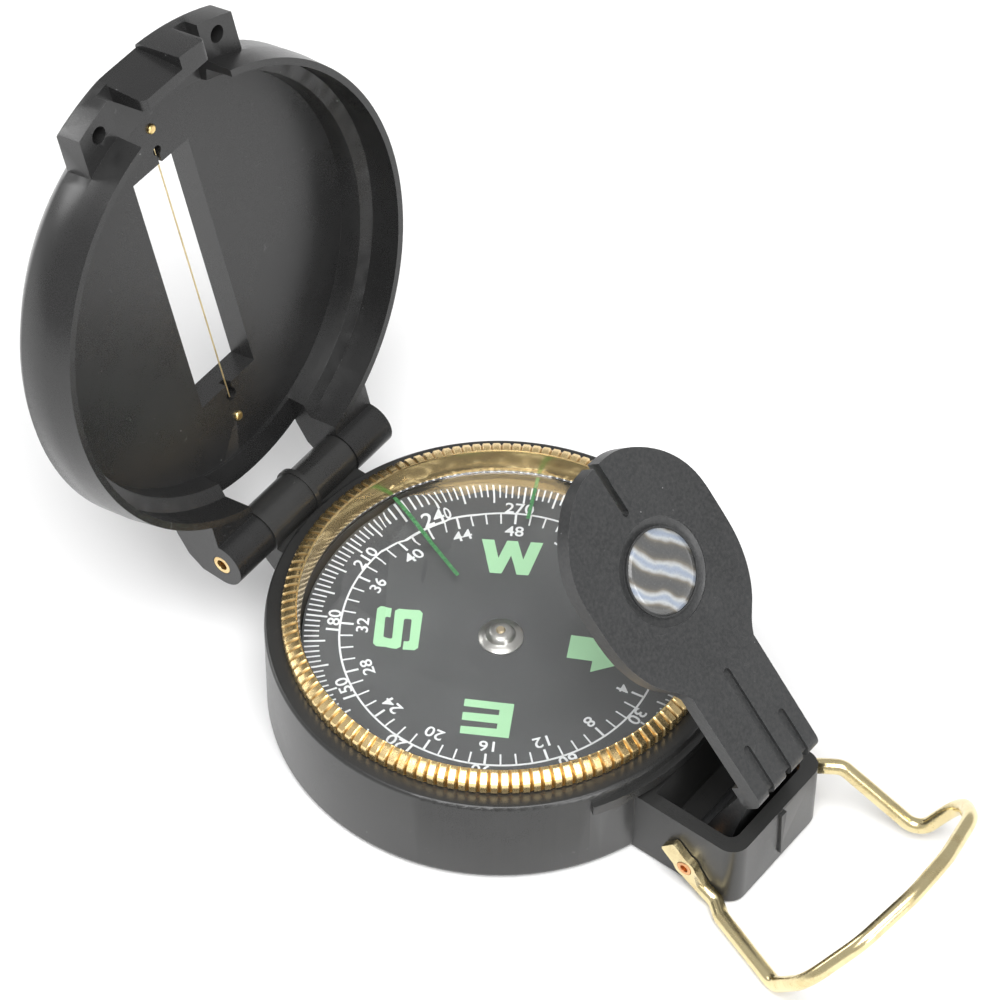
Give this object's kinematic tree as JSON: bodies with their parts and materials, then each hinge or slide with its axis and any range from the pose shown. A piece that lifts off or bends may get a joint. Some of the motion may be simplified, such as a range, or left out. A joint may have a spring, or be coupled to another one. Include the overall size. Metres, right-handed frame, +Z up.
{
  "type": "lensatic geology compass",
  "caption": "Pocket compass with a hinged lid carrying a sighting slot and wire, a turning bezel over a floating dial, a folding lens arm and a wire thumb loop.",
  "frame": {"origin": "dial axis on the flat underside of the round case", "axes": "+Z up along the dial axis, +X from the lid hinge towards the bracket and thumb loop, +Y along the hinge"},
  "size_m": [0.1159, 0.0568, 0.0754],
  "materials": {
    "case_plastic": "satin gloss",
    "lid_plastic": "satin gloss",
    "arm_plastic": "fine textured",
    "bezel_brass": "satin with polished cone",
    "wire_brass": "polished",
    "pin_brass": "polished",
    "hinge_brass": "polished",
    "spring_steel": "plain",
    "clear_crystal": "clear moulded",
    "index_green": "translucent green",
    "capsule_plastic": "plain",
    "pivot_brass": "turned",
    "dial_plastic": "printed",
    "magnet_steel": "ground",
    "nickel": "nickel plated",
    "lens_glass": "polished",
    "axle_copper": "turned",
    "loop_brass": "bright drawn wire"
  },
  "bodies": {
    "case": {"case_body": "case_plastic", "hinge_pin": "hinge_brass", "axle_pin": "axle_copper", "bezel_retaining_ring": "spring_steel", "capsule_cup": "capsule_plastic", "pivot_post": "pivot_brass"},
    "lid": {"lid": "lid_plastic", "sight_wire": "wire_brass", "wire_pins": "pin_brass"},
    "bezel": {"bezel_ring": "bezel_brass", "crystal": "clear_crystal", "index_line_long": "index_green", "index_line_short": "index_green"},
    "dial": {"dial_card": "dial_plastic", "dial_magnet": "magnet_steel", "jewel_cap": "nickel", "jewel_bearing": "pivot_brass"},
    "lens_arm": {"lens_arm": "arm_plastic", "lens": "lens_glass", "lens_retainer": "arm_plastic"},
    "thumb_loop": {"thumb_loop": "loop_brass"}
  },
  "joints": [
    {"name": "lid_hinge", "type": "hinge", "parent": "case", "child": "lid", "pos_m": [-0.0303, 0, 0.014], "axis": [0, -1, 0], "range_deg": [-104.9, 8]},
    {"name": "lens_arm_hinge", "type": "hinge", "parent": "case", "child": "lens_arm", "pos_m": [0.0341, 0, 0.0038], "axis": [0, 1, 0], "range_deg": [-49, 4]},
    {"name": "bezel_turn", "type": "hinge", "parent": "case", "child": "bezel", "pos_m": [0, 0, 0.0136], "axis": [0, 0, 1], "continuous": true},
    {"name": "dial_turn", "type": "hinge", "parent": "case", "child": "dial", "pos_m": [0, 0, 0.0097], "axis": [0, 0, 1], "continuous": true},
    {"name": "thumb_loop_hinge", "type": "hinge", "parent": "case", "child": "thumb_loop", "pos_m": [0.0341, 0, 0.0038], "axis": [0, -1, 0], "range_deg": [0, 70]}
  ],
  "couplings": [
    {"joint": "lens_arm_hinge", "follows": "lid_hinge", "ratio": 0.46616}
  ]
}
